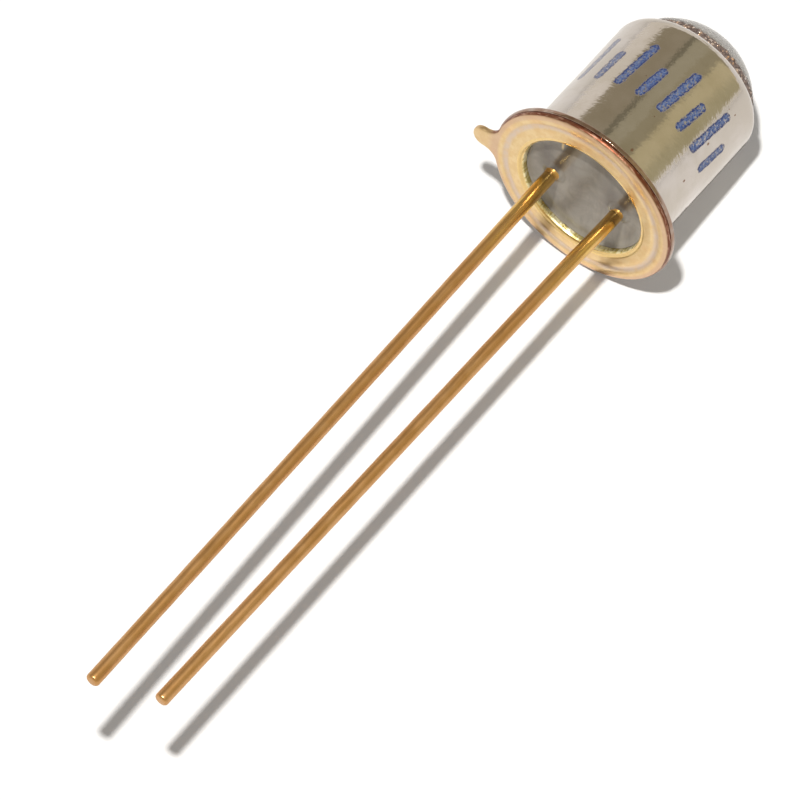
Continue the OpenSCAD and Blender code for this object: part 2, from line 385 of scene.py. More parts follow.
def header_gold():
    f = Finish("header_gold")
    broad = f.noise(f.place, 0.9, 2.0)
    cloud = f.noise(f.place, 3.2, 4.0, 0.6)
    grain = f.noise(f.place, 26.0, 3.0, 0.7)
    radius = f.radius()
    colour = f.blend(f.span(cloud, 0.35, 0.7), (0.79, 0.575, 0.295), (0.86, 0.665, 0.38))
    colour = f.blend(f.math("MULTIPLY", f.span(broad, 0.45, 0.75), 0.35), colour, (0.84, 0.50, 0.23))
    # The coined ring and the strip beside it are paler and greyer
    off_ring = f.math("ABSOLUTE", f.math("SUBTRACT", radius, RING_R + 0.02))
    ring = f.span(off_ring, 0.03, 0.15, 1.0, 0.0)
    ring = f.math("MULTIPLY", ring, f.span(cloud, 0.25, 0.6, 0.3, 0.75))
    colour = f.blend(ring, colour, (0.68, 0.57, 0.52))
    blush = f.math("MULTIPLY", f.span(radius, 2.98, 3.1), f.span(f.y, 3.2, 3.5, 0.55, 0.1))
    colour = f.blend(blush, colour, (0.64, 0.42, 0.33))
    # The rim's edge is tarnished red-brown by the weld, and the paler streaks along it are painted highlight lines
    edge = f.math("MULTIPLY", f.span(radius, 3.1, 3.17), f.span(f.z, 0.02, 0.06))
    edge = f.math("MULTIPLY", edge, f.span(f.y, 3.2, 3.5, 1.0, 0.25))
    streak = f.noise(f.vector("MULTIPLY", f.place, (2.0, 2.0, 14.0)), 1.6, 3.0, 0.6)
    tarnish_with_painted_highlights = f.blend(f.span(streak, 0.52, 0.66), (0.20, 0.065, 0.035), (0.50, 0.30, 0.22))
    colour = f.blend(f.math("MULTIPLY", edge, f.span(cloud, 0.2, 0.6, 0.75, 1.0)), colour, tarnish_with_painted_highlights)
    # The eyelet's wall is satin and its colour is a painted highlight, pale yellow to near white in streaks, and
    # the rounding of its mouth is smoother
    wall = f.math("MULTIPLY", f.span(radius, BORE_R + 0.05, BORE_R + 0.09, 1.0, 0.0), f.span(f.z, 0.04, 0.08))
    mouth = f.span(radius, BORE_R + MOUTH_R, BORE_R + MOUTH_R + 0.06, 1.0, 0.0)
    colour = f.blend(f.math("MULTIPLY", mouth, 0.6), colour, (0.86, 0.62, 0.24))
    facets = f.noise(f.vector("MULTIPLY", f.place, (1.0, 1.0, 0.35)), 4.5, 4.0, 0.7)
    bright = f.blend(f.span(facets, 0.42, 0.56), (0.62, 0.52, 0.2), (1.0, 0.95, 0.68))
    colour = f.blend(f.math("MULTIPLY", wall, 0.95), colour, bright)
    rough = f.span(grain, 0.3, 0.7, 0.3, 0.44)
    rough = f.blend(mouth, f.grey(rough), (0.18, 0.18, 0.18))
    rough = f.blend(wall, rough, (0.4, 0.4, 0.4))
    rough = f.blend(edge, rough, (0.42, 0.42, 0.42))
    height = f.math("ADD", f.math("MULTIPLY", grain, 0.35), cloud)
    f.set(Base_Color=colour, Metallic=1.0, Roughness=rough,
          Normal=f.bump(height, 0.012 * MM, 0.6))
    return f.material


def lead_gold(name, seed):
    f = Finish(name)
    along = f.vector("MULTIPLY", f.vector("ADD", f.place, (seed, seed, seed)), (9.0, 9.0, 0.35))
    streak = f.noise(along, 1.6, 4.0, 0.65)
    cloud = f.noise(f.place, 1.3, 3.0)
    grain = f.noise(f.place, 30.0, 2.0, 0.6)
    colour = f.blend(f.span(cloud, 0.35, 0.7), (0.60, 0.325, 0.125), (0.66, 0.38, 0.17))
    colour = f.blend(f.math("MULTIPLY", f.span(streak, 0.5, 0.8), 0.4), colour, (0.48, 0.23, 0.07))
    # Next to the header the plating is smoother, and its colour is brighter and yellower there as a painted
    # highlight
    header_end_highlight = f.span(f.z, -4.5, -0.6)
    colour = f.blend(f.math("MULTIPLY", header_end_highlight, f.span(streak, 0.4, 0.6, 0.8, 0.3)), colour, (0.90, 0.62, 0.20))
    rough = f.span(streak, 0.3, 0.7, 0.32, 0.42)
    rough = f.blend(header_end_highlight, f.grey(rough), (0.2, 0.2, 0.2))
    height = f.math("ADD", streak, f.math("MULTIPLY", grain, 0.2))
    f.set(Base_Color=colour, Metallic=1.0, Roughness=rough, Normal=f.bump(height, 0.004 * MM, 0.5))
    return f.material


def seal_glass():
    f = Finish("seal_glass")
    cloud = f.noise(f.place, 1.1, 4.0, 0.6, 0.8)
    streak = f.noise(f.vector("MULTIPLY", f.place, (0.8, 3.0, 1.0)), 1.5, 3.0)
    grain = f.noise(f.place, 22.0, 2.0)
    colour = f.blend(f.span(cloud, 0.3, 0.7), (0.245, 0.22, 0.185), (0.325, 0.30, 0.255))
    colour = f.blend(f.math("MULTIPLY", f.span(streak, 0.5, 0.75), 0.4), colour, (0.20, 0.175, 0.16))
    for side in (-1, 1):
        # A painted dark reflection of each lead, as a blot beside it
        lead_reflection_blot = f.spot((-0.45, side * LEAD_Y + 0.25, GLASS_RECESS), 0.15, 0.8, (0.8, 1.5, 1.0))
        colour = f.blend(f.math("MULTIPLY", lead_reflection_blot, 0.5), colour, (0.09, 0.07, 0.055))
        # A painted dark reflection of each lead runs as a streak up to the wall, with a painted gold gleam at its
        # end
        beside = f.math("SUBTRACT", f.math("SUBTRACT", f.y, side * LEAD_Y), f.math("MULTIPLY", f.x, LEAD_REFLECTION_LEAN))
        streak = f.span(f.math("ABSOLUTE", beside), 0.06, 0.24, 1.0, 0.0)
        streak = f.math("MULTIPLY", streak, f.span(f.x, -0.1, -0.3))
        colour = f.blend(f.math("MULTIPLY", streak, 0.75), colour, (0.07, 0.055, 0.045))
    for gleam_x, gleam_y in PAINTED_GLEAMS:
        gleam = f.spot((gleam_x, gleam_y, GLASS_RECESS - 0.03), 0.02, 0.14, (0.55, 1.9, 0.5))
        colour = f.blend(gleam, colour, (0.95, 0.72, 0.36))
    f.set(Base_Color=colour, Roughness=f.span(grain, 0.3, 0.7, 0.14, 0.24), IOR=1.52,
          Normal=f.bump(cloud, 0.02 * MM, 0.4))
    return f.material


def bead_glass():
    """Clear glass on the gold wire: it shows the gold, with the glass's own gloss."""
    f = Finish("bead_glass")
    cloud = f.noise(f.place, 4.0, 2.0)
    f.set(Base_Color=f.blend(f.span(cloud, 0.3, 0.7), (0.58, 0.31, 0.08), (0.74, 0.46, 0.15)),
          Metallic=0.9, Roughness=0.28, Coat_Weight=0.8, Coat_Roughness=0.08,
          Normal=f.bump(cloud, 0.01 * MM, 0.3))
    return f.material


def stamped_marks(f):
    """A plain row of stamped strokes, long and short in turn, which spell nothing: ink and its core."""
    wander = f.vector("SUBTRACT", f.colour_noise(f.place, 7.0), (0.5, 0.5, 0.5))
    place = f.vector("ADD", f.place, f.vector("MULTIPLY", wander, (0.1, 0.1, 0.1)))
    split = f.node("ShaderNodeSeparateXYZ")
    f.link(place, split.inputs[0])
    x, y, z = split.outputs
    # Length along the wall, in millimetres, from the side away from the floor towards -Y
    along = f.math("MULTIPLY", f.math("ARCTAN2", y, f.math("MULTIPLY", x, -1.0)), -CAN_R)
    lean = f.math("MULTIPLY", f.math("SUBTRACT", z, MARK_LOW), MARK_SLANT)
    step = f.math("DIVIDE", f.math("SUBTRACT", f.math("SUBTRACT", along, lean), MARK_START), MARK_PITCH)
    off = f.math("MULTIPLY", f.math("SUBTRACT", f.math("FRACT", step), 0.5), MARK_PITCH)
    # Every second stroke is short
    second = f.span(f.math("FRACT", f.math("MULTIPLY", step, 0.5)), 0.499, 0.501)
    top = f.span(second, 0.0, 1.0, MARK_HIGH - MARK_STROKE / 2, MARK_SHORT - MARK_STROKE / 2, smooth=False)
    above = f.math("MAXIMUM", f.math("SUBTRACT", z, top), 0.0)
    below = f.math("MAXIMUM", f.math("SUBTRACT", MARK_LOW + MARK_STROKE / 2, z), 0.0)
    past = f.math("ADD", above, below)
    away = f.math("SQRT", f.math("ADD", f.math("MULTIPLY", off, off), f.math("MULTIPLY", past, past)))
    stroke = f.span(away, MARK_STROKE / 2 - 0.03, MARK_STROKE / 2 + 0.02, 1.0, 0.0)
    core = f.span(away, MARK_STROKE * 0.2, MARK_STROKE * 0.42, 1.0, 0.0)
    in_row = f.math("MULTIPLY", f.span(step, 0.0, 0.001), f.span(step, MARK_COUNT, MARK_COUNT + 0.001, 1.0, 0.0))
    outside = f.span(f.radius(), CAN_R - 0.1, CAN_R - 0.08)
    # Worn in small holes, and thinner all over at the row's start
    worn = f.span(f.noise(f.place, 11.0, 3.0, 0.7), 0.38, 0.47, 0.3, 1.0)
    thin = f.span(along, MARK_START, MARK_START + 2.2, 0.55, 1.0)
    ink = f.math("MULTIPLY", f.math("MULTIPLY", stroke, in_row), f.math("MULTIPLY", outside, worn))
    return f.math("MULTIPLY", ink, thin), core


def can_nickel():
    f = Finish("can_nickel")
    broad = f.noise(f.place, 0.7, 3.0)
    cloud = f.noise(f.place, 2.6, 4.0, 0.6)
    # Faint rings left by the drawing die
    ripple = f.noise(f.vector("MULTIPLY", f.place, (1.0, 1.0, 2.4)), 3.2, 2.0, 0.6)
    grain = f.noise(f.place, 34.0, 3.0, 0.7)
    colour = f.blend(f.span(broad, 0.35, 0.7), (0.575, 0.52, 0.46), (0.65, 0.595, 0.555))
    colour = f.blend(f.math("MULTIPLY", f.span(cloud, 0.5, 0.75), 0.3), colour, (0.51, 0.455, 0.385))
    # Brown specks scattered over the plating, and the three larger ones near the flange
    cell = f.cells(f.place, 2.2)
    speck = f.span(cell, 0.035, 0.06, 1.0, 0.0)
    speck = f.math("MULTIPLY", speck, f.span(f.noise(f.place, 1.9, 1.0), 0.5, 0.56))
    for angle, height, size in SPECKS:
        turn = math.radians(angle)
        centre = (CAN_R * math.cos(turn), CAN_R * math.sin(turn), height)
        speck = f.math("MAXIMUM", speck, f.spot(centre, size * 0.5, size, (1.0, 1.0, 0.7)))
    colour = f.blend(f.math("MULTIPLY", speck, 0.85), colour, (0.22, 0.11, 0.06))
    # The flange's edge is tarnished brown by the weld
    weld = f.math("MULTIPLY", f.span(f.radius(), 3.08, 3.2), f.span(cloud, 0.3, 0.6, 0.5, 0.85))
    colour = f.blend(weld, colour, (0.33, 0.19, 0.13))
    ink, core = stamped_marks(f)
    mottle = f.noise(f.place, 14.0, 3.0, 0.6)
    pale = f.blend(f.span(mottle, 0.4, 0.6), (0.042, 0.08, 0.25), (0.15, 0.205, 0.37))
    blue = f.blend(core, (0.018, 0.036, 0.155), pale)
    colour = f.blend(ink, colour, blue)
    rough = f.span(grain, 0.3, 0.7, 0.09, 0.15)
    rough = f.math("ADD", rough, f.math("MULTIPLY", speck, 0.3))
    rough = f.math("ADD", rough, f.math("MULTIPLY", ink, 0.35))
    height = f.math("ADD", f.math("MULTIPLY", grain, 0.06), cloud)
    height = f.math("ADD", height, f.math("MULTIPLY", ripple, 2.2))
    f.set(Base_Color=colour, Metallic=f.math("SUBTRACT", 1.0, f.math("MULTIPLY", ink, 0.85)),
          Roughness=rough, Normal=f.bump(height, 0.006 * MM, 0.6))
    return f.material


def lens_glass():
    f = Finish("lens_glass")
    cloud = f.noise(f.place, 1.4, 2.0)
    f.set(Base_Color=f.blend(f.span(cloud, 0.3, 0.7), (0.80, 0.765, 0.72), (0.86, 0.825, 0.78)),
          Roughness=f.span(cloud, 0.3, 0.7, 0.03, 0.06),
          Transmission_Weight=0.62, IOR=1.5, Normal=f.bump(cloud, 0.004 * MM, 0.3))
    return f.material


def frit():
    f = Finish("frit")
    grain = f.noise(f.place, 9.0, 4.0, 0.7)
    fine = f.noise(f.place, 30.0, 3.0, 0.7)
    crumb = f.cells(f.place, 17.0, output="Color")
    split = f.node("ShaderNodeSeparateColor")
    f.link(crumb, split.inputs[0])
    glint = f.span(split.outputs[0], 0.8, 0.86)
    colour = f.blend(f.span(grain, 0.35, 0.65), (0.09, 0.062, 0.052), (0.28, 0.205, 0.175))
    colour = f.blend(glint, colour, f.blend(split.outputs[1], (0.86, 0.76, 0.71), (0.78, 0.46, 0.26)))
    f.set(Base_Color=colour, Metallic=f.math("MULTIPLY", glint, 0.7),
          Roughness=f.span(glint, 0.0, 1.0, 0.5, 0.16), Normal=f.bump(fine, 0.03 * MM, 0.8))
    return f.material


def silicon():
    f = Finish("silicon")
    cloud = f.noise(f.place, 5.0, 2.0)
    reach = f.math("MAXIMUM", f.math("ABSOLUTE", f.x), f.math("ABSOLUTE", f.y))
    frame_mask = f.span(reach, 0.395, 0.405)
    pad_x = f.span(f.math("ABSOLUTE", f.x), 0.08, 0.085, 1.0, 0.0)
    pad_y = f.span(f.math("ABSOLUTE", f.math("SUBTRACT", f.y, 0.32)), 0.08, 0.085, 1.0, 0.0)
    pad = f.math("MULTIPLY", f.math("MULTIPLY", pad_x, pad_y), f.span(f.z, 1.785, 1.79))
    colour = f.blend(f.span(cloud, 0.3, 0.7), (0.05, 0.07, 0.16), (0.09, 0.09, 0.2))
    colour = f.blend(frame_mask, colour, (0.16, 0.17, 0.19))
    colour = f.blend(pad, colour, (0.80, 0.81, 0.82))
    f.set(Base_Color=colour, Metallic=f.math("MAXIMUM", pad, 0.35), Roughness=0.18)
    return f.material


def soft_metal(name, dark, light, rough):
    """Solder or fine wire: a metal with a cloudy colour and a faint grain."""
    f = Finish(name)
    cloud = f.noise(f.place, 7.0, 3.0)
    grain = f.noise(f.place, 40.0, 2.0)
    f.set(Base_Color=f.blend(f.span(cloud, 0.3, 0.7), dark, light), Metallic=1.0,
          Roughness=f.span(grain, 0.3, 0.7, rough, rough + 0.12), Normal=f.bump(grain, 0.004 * MM, 0.5))
    return f.material


# Lean of the painted dark reflections on the eyelet's glass, and where the painted gleams at their ends lie, in
# millimetres
LEAD_REFLECTION_LEAN = 0.3
PAINTED_GLEAMS = [(-1.5, 0.98), (-1.1, -1.52)]

# Brown specks on the can: angle round the axis, height above the seating face, size in millimetres
SPECKS = [(-156.2, 0.93, 0.06), (-111.1, 1.89, 0.05), (-118.0, 3.28, 0.05), (-117.6, 4.68, 0.035)]

# Stamped strokes round the can's wall, in millimetres: their lower end and the upper ends of the long
# and the short ones above the seating face, width, lean, distance to the next and start of the row
MARK_LOW = 2.55
MARK_HIGH = 4.5
MARK_SHORT = 3.9
MARK_STROKE = 0.32
MARK_SLANT = 0.1
MARK_PITCH = 0.8
MARK_START = -2.75
MARK_COUNT = 8.0


# Pieces

def tab_outline(reach_step=0.04):
    """The header's outline, seen along the axis: (point, outward normal, share of tab) in order."""
    centre_x = TAB_W / 2 + TAB_FILLET
    centre_y = math.sqrt((HEADER_RIM_R + TAB_FILLET) ** 2 - centre_x ** 2)
    flare = math.degrees(math.atan2(centre_y, centre_x))
    tip_y = TAB_REACH - TAB_W / 2
    rows = []
    root = math.degrees(math.atan2(centre_y, centre_x))
    count = 220
    for i in range(count):
        angle = math.radians(180 - root + (360 - 180 + 2 * root) * i / count)
        point = Vector((math.cos(angle), math.sin(angle)))
        rows.append((point * HEADER_RIM_R, point, 0.0))
    for x, y in arc((centre_x, centre_y), TAB_FILLET, 180 + flare, 180, 10):
        inward = (Vector((centre_x, centre_y)) - Vector((x, y))).normalized()
        rows.append((Vector((x, y)), inward, min(1.0, (y - centre_y) / TAB_FILLET + 1.0)))
    steps = max(1, round((tip_y - centre_y) / reach_step))
    for i in range(1, steps):
        y = centre_y + (tip_y - centre_y) * i / steps
        rows.append((Vector((TAB_W / 2, y)), Vector((1.0, 0.0)), 1.0))
    for x, y in arc((0.0, tip_y), TAB_W / 2, 0, 180, 20):
        rows.append((Vector((x, y)), (Vector((x, y)) - Vector((0.0, tip_y))).normalized(), 1.0))
    for i in range(1, steps):
        y = tip_y + (centre_y - tip_y) * i / steps
        rows.append((Vector((-TAB_W / 2, y)), Vector((-1.0, 0.0)), 1.0))
    for x, y in arc((-centre_x, centre_y), TAB_FILLET, 0, -flare, 10)[:-1]:
        inward = (Vector((-centre_x, centre_y)) - Vector((x, y))).normalized()
        rows.append((Vector((x, y)), inward, min(1.0, (y - centre_y) / TAB_FILLET + 1.0)))
    return rows


def header_piece():
    """Rim with its tab and coined ring, the drawn eyelet and the chip platform, in one sheet."""
    bm = bmesh.new()
    ring_arc_r = (RING_W ** 2 / 4 + RING_DEPTH ** 2) / (2 * RING_DEPTH)
    ring_half = math.degrees(math.asin(RING_W / 2 / ring_arc_r))
    flat_r = RING_R + RING_W / 2 + 0.12
    lead_side = (
        arc((BORE_R - CUP_CORNER_R, GLASS_TOP - CUP_CORNER_R), CUP_CORNER_R, 90, 0)
        + stretch((BORE_R, GLASS_TOP - CUP_CORNER_R), (BORE_R, MOUTH_R), 0.1)[1:]
        + arc((BORE_R + MOUTH_R, MOUTH_R), MOUTH_R, 180, 270)
        + stretch((BORE_R + MOUTH_R, 0.0), (RING_R - RING_W / 2, 0.0), 0.08)[1:]
        + arc((RING_R, RING_DEPTH - ring_arc_r), ring_arc_r, 90 + ring_half, 90 - ring_half)
        + [(flat_r, 0.0)]
    )
    can_side = (
        [(flat_r, HEADER_SHEET)]
        + arc((EYELET_R + FOOT_R / 2, HEADER_SHEET + FOOT_R / 2), FOOT_R / 2, 270, 180)
        + stretch((EYELET_R, HEADER_SHEET + FOOT_R / 2), (EYELET_R, HEADER_H - CUP_CORNER_R), 0.1)[1:]
        + arc((EYELET_R - CUP_CORNER_R, HEADER_H - CUP_CORNER_R), CUP_CORNER_R, 0, 90)
    )
    below = turned(bm, lead_side)
    above = turned(bm, can_side)
    hole_centre = (0.0, LEAD_Y)
    hole = turned(bm, [(POST_HOLE_R, GLASS_TOP), (POST_HOLE_R, HEADER_H)], hole_centre, 64)
    fill_between(bm, below[0], hole[0])
    fill_between(bm, above[-1], hole[1])
    # The rim's edge follows the outline with the tab, rounded on the lead side
    outline = tab_outline()
    loops = []
    for step in range(9):
        angle = math.radians(90 * step / 8)
        loop = []
        for point, normal, share in outline:
            radius = RIM_EDGE_R + (TAB_EDGE_R - RIM_EDGE_R) * share
            place = point - normal * radius * (1 - math.sin(angle))
            loop.append(bm.verts.new((place.x, place.y, radius * (1 - math.cos(angle)))))
        loops.append(loop)
    upper_r = 0.03
    for step in range(4):
        angle = math.radians(90 * step / 3)
        loop = []
        for point, normal, share in outline:
            place = point - normal * upper_r * (1 - math.cos(angle))
            height = HEADER_SHEET - upper_r * (1 - math.sin(angle))
            loop.append(bm.verts.new((place.x, place.y, height)))
        loops.append(loop)
    for lower, upper in zip(loops, loops[1:]):
        join_rings(bm, lower, upper)
    fill_between(bm, loops[0], below[-1])
    fill_between(bm, loops[-1], above[0])
    shift(bm, 0.006, 0.9, 1)
    return finished(bm, "stamped_header", header_gold(), ["header"])


def wire_path(top, side, stretches, bends):
    """Centre-line of a lead: straight stretches and slight bends, one after another."""
    here = Matrix.Translation((0, side * LEAD_Y, top)) @ Matrix.Rotation(math.pi, 4, "X")
    path = []
    for i, length in enumerate(stretches):
        count = max(2, round(length / 0.12))
        for k in range(count):
            path.append(here @ Vector((0, 0, length * k / count)))
        here = here @ Matrix.Translation((0, 0, length))
        if i < len(bends):
            turn, towards = bends[i]
            across = Matrix.Rotation(math.radians(towards), 4, "Z") @ Matrix.Translation((BEND_R, 0, 0))
            for k in range(6):
                part = Matrix.Rotation(math.radians(turn * k / 6), 4, "Y")
                path.append((here @ across @ part @ across.inverted()).translation)
            here = here @ across @ Matrix.Rotation(math.radians(turn), 4, "Y") @ across.inverted()
    path.append(here.translation)
    return path


def lead_piece(name, node, slot, top, side, stretches, bends, seed):
    """A lead swept along its centre-line, with rounded ends and the faint waviness of drawn wire."""
    steps = 40
    path = wire_path(top, side, stretches, bends)
    bm = bmesh.new()
    ahead = (path[1] - path[0]).normalized()
    across = ahead.orthogonal().normalized()
    rings = []
    end_rounds = [(LEAD_TIP_R * (1 - math.cos(a)), LEAD_R - LEAD_TIP_R * (1 - math.sin(a)))
                  for a in (math.radians(90 * k / 6) for k in range(7))]

    def add(point, direction, radius):
        nonlocal across
        across = (across - direction * across.dot(direction)).normalized()
        other = direction.cross(across)
        ring = []
        for k in range(steps):
            angle = 2 * math.pi * k / steps
            ring.append(bm.verts.new(point + (across * math.cos(angle) + other * math.sin(angle)) * radius))
        rings.append(ring)

    add(path[0], ahead, LEAD_R - 0.03)
    add(path[0] + ahead * 0.03, ahead, LEAD_R)
    for before, here, after in zip(path, path[1:], path[2:]):
        direction = (after - before).normalized()
        if (path[-1] - here).length > LEAD_TIP_R * 1.5:
            swell = 0.004 * noise.noise(here / 0.8 + Vector((seed, 0, 0)))
            add(here, direction, LEAD_R + swell)
    tip = path[-1]
    direction = (tip - path[-2]).normalized()
    for back, radius in reversed(end_rounds):
        add(tip - direction * (LEAD_TIP_R - (LEAD_TIP_R - back)), direction, radius)
    for lower, upper in zip(rings, rings[1:]):
        join_rings(bm, lower, upper)
    bm.faces.new(rings[0])
    bm.faces.new(rings[-1])
    return finished(bm, name, lead_gold(slot, seed), [node])


def glass_height(x, y):
    """Height of the glass in the eyelet's mouth: it creeps up both leads and the wall."""
    height = GLASS_RECESS
    wall = BORE_R - math.hypot(x, y)
    if wall < 0.3:
        height -= WALL_CREEP * (1 - wall / 0.3) ** 2.5
    for side in (-1, 1):
        away = math.hypot(x, y - side * LEAD_Y) - LEAD_R
        if away < CREEP_R:
            angle = math.asin(max(0.0, min(1.0, 1 - away / CREEP_R)))
            height -= CREEP_H * (1 - math.cos(angle))
    return height


def glass_piece():
    """Glass of the eyelet, with its creep round the leads and the plug round the bonding post."""
    bm = bmesh.new()
    edge_r = BORE_R - FUSED_GAP
    hole_r = LEAD_R + FUSED_GAP * 0.2
    points = []
    loops = []

    def loop_of(centre_y, radius, count):
        start = len(points)
        for k in range(count):
            angle = 2 * math.pi * k / count
            points.append(Vector((radius * math.cos(angle), centre_y + radius * math.sin(angle))))
        return start, count

    loops.append(loop_of(0.0, edge_r, 192))
    for side in (-1, 1):
        loops.append(loop_of(side * LEAD_Y, hole_r, 48))
        for k in range(1, 12):
            loop_of(side * LEAD_Y, hole_r + (CREEP_R * 1.1) * k / 11, 48)
    for k in range(1, 10):
        loop_of(0.0, edge_r - 0.03 * k, 192)
    step = 0.09
    across = int(edge_r / step) + 1
    for i in range(-across, across + 1):
        for j in range(-across, across + 1):
            x = (i + 0.5 * (j % 2)) * step
            y = j * step
            clear = min(math.hypot(x, y - side * LEAD_Y) for side in (-1, 1))
            if math.hypot(x, y) < edge_r - 0.32 and clear > hole_r + CREEP_R * 1.2:
                points.append(Vector((x, y)))
    edges = [(start + k, start + (k + 1) % count) for start, count in loops for k in range(count)]
    verts, _, faces, *_ = geometry.delaunay_2d_cdt(points, edges, [], 0, 1e-6)
    made = [bm.verts.new((v.x, v.y, glass_height(v.x, v.y))) for v in verts]
    for face in faces:
        middle = sum((verts[i] for i in face), Vector((0.0, 0.0))) / len(face)
        if min(math.hypot(middle.x, middle.y - side * LEAD_Y) for side in (-1, 1)) > hole_r:
            bm.faces.new([made[i] for i in face])
    bm.verts.ensure_lookup_table()
    rim = [v for v in made if v.is_valid and abs(math.hypot(v.co.x, v.co.y) - edge_r) < 1e-4]
    rim.sort(key=lambda v: math.atan2(v.co.y, v.co.x))
    corner_r = CUP_CORNER_R - FUSED_GAP / 2
    side_rings = [rim]
    wall = stretch((edge_r, GLASS_RECESS + 0.05), (edge_r, GLASS_TOP - FUSED_GAP - corner_r), 0.2)
    corner = arc((edge_r - corner_r, GLASS_TOP - FUSED_GAP - corner_r), corner_r, 0, 90, 6)
    order = [math.atan2(v.co.y, v.co.x) for v in rim]
    for radius, height in wall + corner:
        side_rings.append([bm.verts.new((radius * math.cos(a), radius * math.sin(a), height)) for a in order])
    for lower, upper in zip(side_rings, side_rings[1:]):
        join_rings(bm, lower, upper)
    close_ring(bm, side_rings[-1], GLASS_TOP - FUSED_GAP)
    plug_r = POST_HOLE_R - FUSED_GAP
    creep = plug_r - LEAD_R - 0.02
    plug = [(LEAD_R + 0.002, GLASS_TOP - 0.05), (plug_r, GLASS_TOP - 0.05), (plug_r, HEADER_H)]
    plug += [(LEAD_R + 0.002 + creep * (1 - math.sin(a)), HEADER_H + CREEP_H / 2 * (1 - math.cos(a)))
             for a in (math.radians(90 * k / 8) for k in range(9))]
    turned(bm, plug, (0.0, LEAD_Y), 64, closed=True)
    for hole_start, count in loops[1:]:
        centre_y = points[hole_start + count // 4].y - hole_r
        inner = [v for v in made if v.is_valid
                 and abs(math.hypot(v.co.x, v.co.y - centre_y) - hole_r) < 1e-4]
        inner.sort(key=lambda v: math.atan2(v.co.y - centre_y, v.co.x))
        deep = [bm.verts.new((v.co.x, v.co.y, GLASS_TOP - 0.1)) for v in inner]
        join_rings(bm, inner, deep)
        bm.faces.new(deep)
    return finished(bm, "eyelet_glass", seal_glass(), ["glass_seal"], 50.0)


def glass_beads():
    """The clear glass that has crept up round each lead, as a narrow rounded collar."""
    bm = bmesh.new()
    for side in (-1, 1):
        inside = LEAD_R - 0.02
        foot = GLASS_RECESS + 0.02
        profile = [(inside, foot), (inside, GLASS_RECESS - BEAD_H)]
        for k in range(17):
            share = k / 16
            swell = BEAD_R * share * share * (3 - 2 * share)
            profile.append((LEAD_R + swell, foot - (BEAD_H + 0.02) * (1 - share)))
        turned(bm, profile, (0.0, side * LEAD_Y), 64, closed=True)
    shift(bm, 0.01, 0.35, 6)
    return finished(bm, "glass_beads", bead_glass(), ["glass_seal"], 50.0)


def can_piece():
    """The drawn can, a closed shell of sheet: flange, wall, shoulder and the edge of its window."""
    bm = bmesh.new()
    shoulder = (CAN_R - SHOULDER_R, CAN_H - SHOULDER_R)
    edge_r = 0.035
    profile = (
        stretch((CAN_BORE_R, HEADER_SHEET), (RIM_R - LIP_R, HEADER_SHEET), 0.1)
        + arc((RIM_R - LIP_R, HEADER_SHEET + LIP_R), LIP_R, 270, 360, 6)
        + arc((RIM_R - LIP_R, RIM_T - LIP_R), LIP_R, 0, 90, 6)
        + stretch((RIM_R - LIP_R, RIM_T), (CAN_R + FOOT_R, RIM_T), 0.08)[1:]
        + arc((CAN_R + FOOT_R, RIM_T + FOOT_R), FOOT_R, 270, 180, 14)
        + stretch((CAN_R, RIM_T + FOOT_R), (CAN_R, CAN_H - SHOULDER_R), 0.1)[1:]
        + arc(shoulder, SHOULDER_R, 0, 90, 28)
        + [(WINDOW_R + edge_r, CAN_H)]
        + arc((WINDOW_R + edge_r, CAN_H - edge_r), edge_r, 90, 180, 4)[1:]
        + [(WINDOW_R, CAN_H - CAN_SHEET)]
        + arc(shoulder, SHOULDER_R - CAN_SHEET, 90, 0, 12)
        + stretch((CAN_BORE_R, CAN_H - SHOULDER_R), (CAN_BORE_R, HEADER_SHEET), 0.3)[1:]
    )
    turned(bm, profile, closed=True)
    offset = Vector((31.0, 12.0, 5.0))
    for vertex in bm.verts:
        outward = Vector((vertex.co.x, vertex.co.y, 0)).normalized()
        swell = 0.010 * noise.noise(vertex.co / 1.5 + offset) + 0.0022 * noise.noise(vertex.co / 0.35)
        if math.hypot(vertex.co.x, vertex.co.y) > CAN_R - 0.05:
            vertex.co += outward * swell
    return finished(bm, "drawn_can", can_nickel(), ["can"])


def lens_piece():
    """The domed glass, fused into the can from inside."""
    bm = bmesh.new()
    seat_r = CAN_BORE_R - FUSED_GAP
    shoulder = (CAN_R - SHOULDER_R, CAN_H - SHOULDER_R)
    neck_r = WINDOW_R - FUSED_GAP
    dome_z = LENS_TOP - DOME_R
    foot = math.degrees(math.acos(neck_r / DOME_R))
    profile = (
        [(0, LENS_FLOOR)]
        + stretch((0.25, LENS_FLOOR), (seat_r - LENS_CREEP_R, LENS_FLOOR), 0.25)
        + arc((seat_r - LENS_CREEP_R, LENS_FLOOR - LENS_CREEP_R), LENS_CREEP_R, 90, 0)
        + arc(shoulder, SHOULDER_R - CAN_SHEET - FUSED_GAP, 0, 90)
        + [(neck_r, CAN_H - CAN_SHEET - FUSED_GAP)]
        + arc((0, dome_z), DOME_R, foot, 90, 48)[:-1]
        + [(0, LENS_TOP)]
    )
    turned(bm, profile)
    shift(bm, 0.012, 1.6, 4, keep=lambda co: co.z < CAN_H)
    return finished(bm, "domed_lens", lens_glass(), ["lens"], 50.0)


